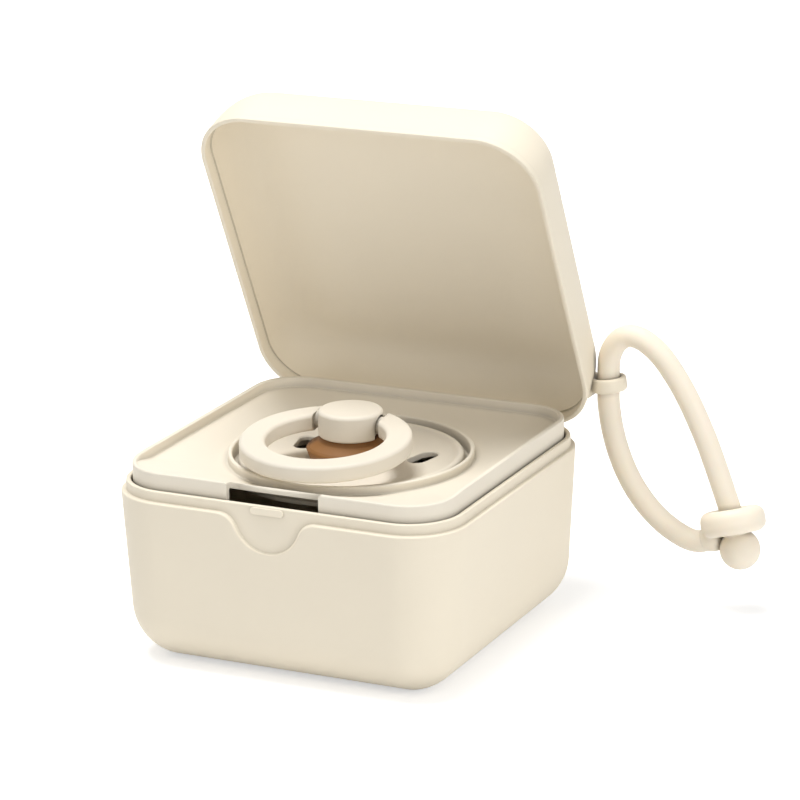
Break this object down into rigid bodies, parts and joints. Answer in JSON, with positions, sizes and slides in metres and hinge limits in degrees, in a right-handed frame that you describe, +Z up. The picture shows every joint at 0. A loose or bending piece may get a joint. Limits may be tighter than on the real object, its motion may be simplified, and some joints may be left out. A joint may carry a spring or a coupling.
{
  "type": "pacifier sterilizer case",
  "caption": "Rounded square carry case with a hinged lid, a lift-out tray that holds a pacifier by its shield, and a buttoned silicone strap on the lid.",
  "frame": {"origin": "centre of the base's flat underside", "axes": "+Z up, -Y towards the front with the thumb recess, +X towards the side that carries the strap; the lid stands open as in the picture"},
  "size_m": [0.1191, 0.0918, 0.114],
  "materials": {
    "case_plastic": "fine matte ivory",
    "tray_plastic": "matte ivory",
    "pacifier_plastic": "matte pale sand",
    "nipple_rubber": "translucent natural rubber, amber",
    "pin_steel": "drawn wire",
    "strap_silicone": "soft-touch silicone, ivory"
  },
  "bodies": {
    "base": {"base_case": "case_plastic", "hinge_pin": "pin_steel"},
    "lid": {"lid": "case_plastic"},
    "tray": {"tray": "tray_plastic"},
    "pacifier": {"pacifier_shield": "pacifier_plastic", "pacifier_nipple": "nipple_rubber", "pacifier_plug": "pacifier_plastic", "pacifier_knob": "pacifier_plastic"},
    "ring": {"pacifier_ring": "pacifier_plastic"},
    "strap": {"strap_long_cord": "strap_silicone", "strap_short_cord": "strap_silicone", "strap_button_ring": "strap_silicone", "strap_ball": "strap_silicone"}
  },
  "joints": [
    {"name": "lid_hinge", "type": "hinge", "parent": "base", "child": "lid", "pos_m": [0, 0.0406, 0.038], "axis": [-1, 0, 0], "range_deg": [-64, 41]},
    {"name": "tray_lift", "type": "slide", "parent": "base", "child": "tray", "axis": [0, 0, 1], "range_m": [0, 0.016]},
    {"name": "pacifier_lift", "type": "slide", "parent": "tray", "child": "pacifier", "axis": [0, 0, 1], "range_m": [0, 0.03]},
    {"name": "ring_swing", "type": "hinge", "parent": "pacifier", "child": "ring", "pos_m": [0, 0, 0.0473], "axis": [-0.999, -0.0436, 0], "range_deg": [0, 188]},
    {"name": "strap_swing", "type": "hinge", "parent": "lid", "child": "strap", "pos_m": [0.0422, 0.0431, 0.0489], "axis": [0, 0, 1], "range_deg": [-60, 80]}
  ]
}
